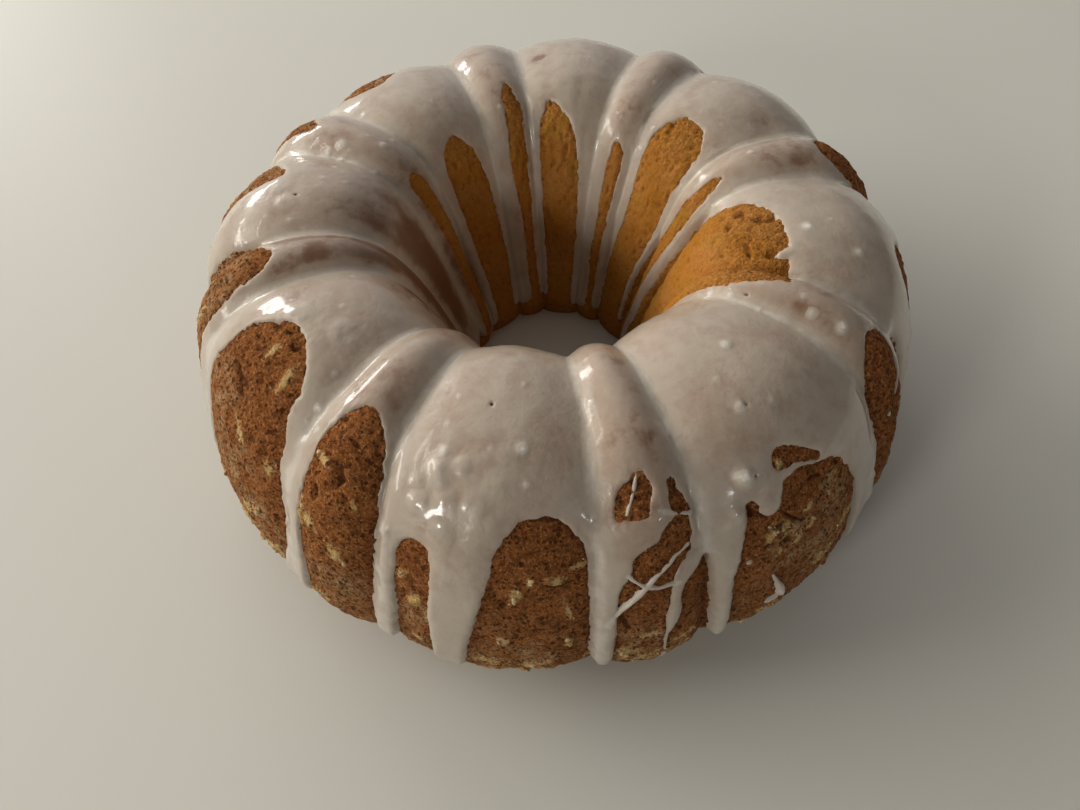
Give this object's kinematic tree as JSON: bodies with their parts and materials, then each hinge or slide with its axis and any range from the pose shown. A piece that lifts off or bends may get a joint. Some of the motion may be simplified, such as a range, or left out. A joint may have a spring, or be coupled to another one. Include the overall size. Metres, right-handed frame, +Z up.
{
  "type": "bundt cake",
  "caption": "Ring-shaped fluted cake with broad rounded lobes, narrow ridges between them and a poured glaze.",
  "frame": {"origin": "middle of the flat underside, on the hole's axis", "axes": "+Z up along the hole's axis, -Y towards the front, +X to the right seen from the front"},
  "size_m": [0.245, 0.2446, 0.0854],
  "materials": {
    "crust": "browned, finely pored baked crust with torn patches of yellow crumb, not plastic",
    "glaze": "glossy, slightly see-through sugar glaze, greyish white, thin over the lobes and thick in the grooves"
  },
  "bodies": {
    "root": {"cake": "crust"}
  },
  "joints": []
}
